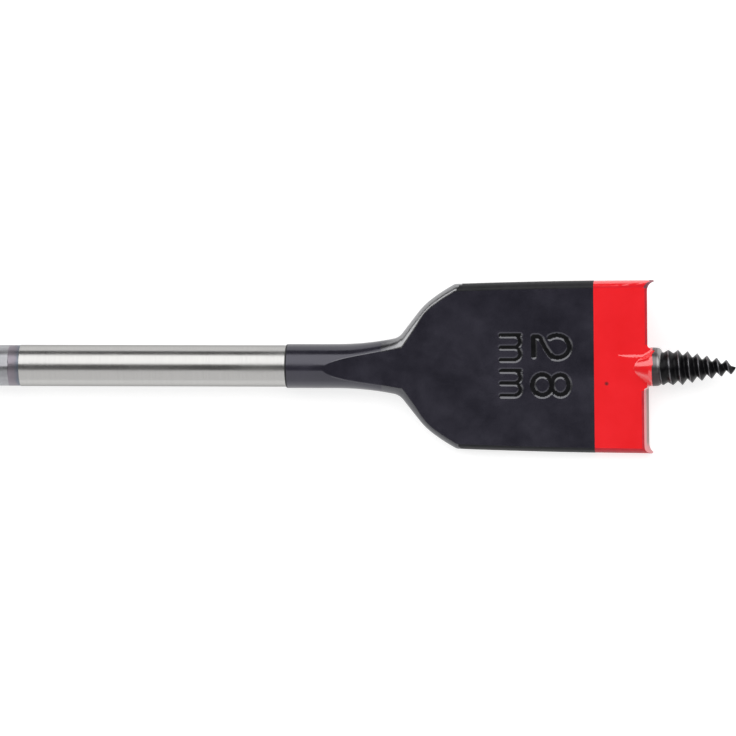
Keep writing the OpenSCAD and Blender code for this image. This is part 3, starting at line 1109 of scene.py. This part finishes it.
def base_faces():
    """Faces from the base ring to the first turn, with the step where the thread starts."""
    v, columns = ribbon_point, len(THREAD_SHARES)
    last = TURN_STEPS - 1
    faces = [tuple(base_point(i) for i in reversed(range(TURN_STEPS)))]
    for i in range(last):
        faces.append((base_point(i), base_point(i + 1), v(i + 1, 0), v(i, 0)))
    faces.append((base_point(last), base_point(0), v(last, 0)))
    faces.append((base_point(0), v(0, 0), v(last, 0)))
    faces.append((v(0, 0), v(0, columns), v(last, 0)))
    faces.append(tuple(v(0, q) for q in range(columns + 1)))
    return faces


def tip_faces():
    """Faces from the last turn to the tip ring, with the step where the thread ends."""
    v, columns = ribbon_point, len(THREAD_SHARES)
    last = THREAD_STEPS
    first = last - TURN_STEPS + 1
    faces = [tuple(tip_point(i) for i in range(TURN_STEPS))]
    for i in range(first, last):
        faces.append((v(i, columns), v(i + 1, columns), tip_point(i + 1), tip_point(i)))
    faces.append((v(first, columns), tip_point(first), tip_point(last)))
    faces.append((v(first, columns), tip_point(last), v(last, columns)))
    faces.append((v(first, columns), v(last, columns), v(last, 0)))
    faces.append(tuple(v(last, q) for q in reversed(range(columns + 1))))
    return faces


def make_screw(materials):
    points, faces, slots = make_collar()
    first = len(points)
    ribbon, ribbon_slots = ribbon_faces()
    ends = base_faces() + tip_faces()
    points += thread_points()
    faces += [tuple(first + c for c in face) for face in ribbon + ends]
    slots += ribbon_slots + [2] * len(ends)
    piece = make_piece("lead_screw", points, faces, materials, slots, sharp=40)


# Stage: pale floor, two soft panels with a gap overhead, and the camera

def floor_material():
    """Matt grey that looks white to the camera and in mirrors, but lights the bit only as grey."""
    mat, tree, s = new_material("floor")
    s.inputs["Base Color"].default_value = (0.5, 0.5, 0.5, 1)
    s.inputs["Roughness"].default_value = 0.9
    s.inputs["Specular IOR Level"].default_value = 0.0
    path = node(tree, "ShaderNodeLightPath")
    seen = path.outputs["Is Camera Ray"]
    for kind in ("Is Glossy Ray", "Is Transmission Ray"):
        add = node(tree, "ShaderNodeMath", operation="ADD", use_clamp=True)
        tree.links.new(seen, add.inputs[0])
        tree.links.new(path.outputs[kind], add.inputs[1])
        seen = add.outputs[0]
    glow = node(tree, "ShaderNodeEmission")
    glow.inputs["Color"].default_value = (1, 1, 1, 1)
    lift = map_range(tree, seen, 0, 1, 0, 0.69)
    tree.links.new(lift, glow.inputs["Strength"])
    both = node(tree, "ShaderNodeAddShader")
    tree.links.new(s.outputs["BSDF"], both.inputs[0])
    tree.links.new(glow.outputs["Emission"], both.inputs[1])
    tree.links.new(both.outputs["Shader"], tree.nodes["Material Output"].inputs["Surface"])
    return mat


def make_floor():
    side = 3.0
    clearance = 0.00002
    z = -STOCK_R * MM - clearance
    corners = [(-side, -side, z), (side, -side, z), (side, side, z), (-side, side, z)]
    mesh = bpy.data.meshes.new("floor")
    mesh.from_pydata(corners, [], [(0, 1, 2, 3)])
    mesh.materials.append(floor_material())
    floor = bpy.data.objects.new("floor", mesh)
    bpy.context.collection.objects.link(floor)


def make_panel(name, tilt, across, along, radiance):
    """Soft panel that faces the bit, tilted from overhead about the drill axis."""
    middle = 0.09
    distance = 0.7
    light = bpy.data.lights.new(name, "AREA")
    light.shape = "RECTANGLE"
    light.size = along
    light.size_y = across
    light.energy = radiance * math.pi * along * across
    lamp = bpy.data.objects.new(name, light)
    a = math.radians(tilt)
    lamp.location = (middle, distance * math.sin(a), distance * math.cos(a))
    lamp.rotation_euler = (-a, 0, 0)
    bpy.context.collection.objects.link(lamp)


def make_world():
    world = bpy.data.worlds.new("studio")
    world.use_nodes = True
    back = world.node_tree.nodes["Background"]
    back.inputs["Color"].default_value = (1, 1, 1, 1)
    back.inputs["Strength"].default_value = 0.12
    bpy.context.scene.world = world


def make_camera():
    """Camera above the bit, leaning a little towards the tip, so that rings on the shank show as bows."""
    photo_px = 736
    px_per_mm = 6.245
    distance = 1400
    lean = math.radians(6)
    twist = math.radians(0.13)
    aim_x, aim_y = 93.05, 0.04
    cam = bpy.data.cameras.new("camera")
    cam.sensor_fit = "HORIZONTAL"
    cam.angle = 2 * math.atan(photo_px / px_per_mm / 2 / distance)
    cam.clip_start = 0.01
    view = bpy.data.objects.new("camera", cam)
    x = aim_x + distance * math.sin(lean)
    z = distance * math.cos(lean)
    view.location = (x * MM, aim_y * MM, z * MM)
    view.rotation_euler = (0, lean, twist)
    bpy.context.collection.objects.link(view)
    bpy.context.scene.camera = view


# Everything in its place

red = red_paint()
make_shank([stock_steel(), heat_band(), ground_steel()])
side_black = dull_black("side_black", dark=0.008, light=0.016, shine=0.26)
# Painted shade: near black for the stamped strokes, standing in for the shade in their grooves.
mark_painted_shade = dull_black("mark_painted_shade", dark=0.002, light=0.007, shine=0.1)
make_blade([black_coating(), side_black, edge_wear_and_highlight(), mark_painted_shade])
# Painted shade: a darker red on the rounded trailing edges and along the cutting edge, for the shade and
# dark reflections there.
edge_red_painted_shade = dull_red("edge_red_painted_shade", dark=(0.44, 0.014, 0.026), light=(0.58, 0.024, 0.036))
rim_red = dull_red("rim_red", dark=(0.70, 0.006, 0.014), light=(0.82, 0.010, 0.020))
make_head([red, ground_relief(), edge_red_painted_shade, spur_steel(), rim_red])
make_screw([red, collar_steel_painted_light(), thread_black(), crest_steel_and_highlight()])

make_floor()
make_panel("key_panel", tilt=35.5, across=0.72, along=4.0, radiance=1.85)
make_panel("fill_panel", tilt=-57.5, across=0.9, along=2.2, radiance=0.87)
make_world()
make_camera()
bpy.context.scene.view_settings.view_transform = "Standard"
